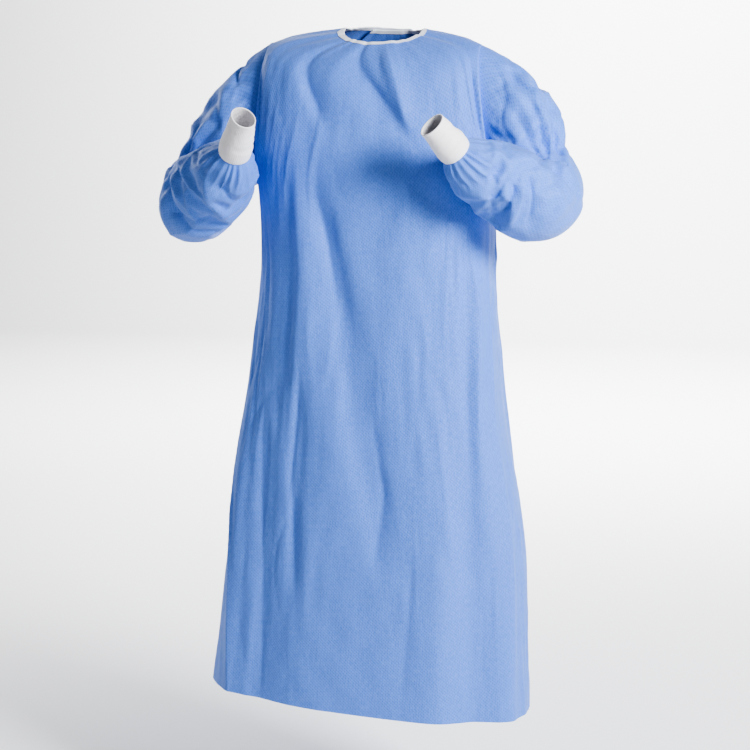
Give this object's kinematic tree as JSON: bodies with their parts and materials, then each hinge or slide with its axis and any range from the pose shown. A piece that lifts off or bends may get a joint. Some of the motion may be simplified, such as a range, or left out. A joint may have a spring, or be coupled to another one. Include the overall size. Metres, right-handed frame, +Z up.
{
  "type": "surgical gown",
  "caption": "Long surgical gown in its worn, hollow shape, lapped and tied at the back, with a bound round neck and sleeves gathered into knitted cuffs.",
  "frame": {"origin": "base of the neck, midway between the shoulders, where the wearer's shoulders carry the gown", "axes": "+Z up, the gown's front towards -Y, the wearer's left towards +X"},
  "size_m": [0.7448, 0.4853, 1.2335],
  "materials": {
    "nonwoven": "blue spunbond nonwoven, matt with a faint sheen",
    "knit": "white stretch rib knit",
    "binding": "white folded tape"
  },
  "bodies": {
    "root": {"front": "nonwoven", "back_left": "nonwoven", "back_right": "nonwoven", "sleeve_left": "nonwoven", "sleeve_right": "nonwoven", "cuff_left": "knit", "cuff_right": "knit", "neck_binding": "binding", "tie_left": "nonwoven", "tie_right": "nonwoven", "tie_bow": "nonwoven", "tie_end_left": "nonwoven", "tie_end_right": "nonwoven"}
  },
  "joints": []
}
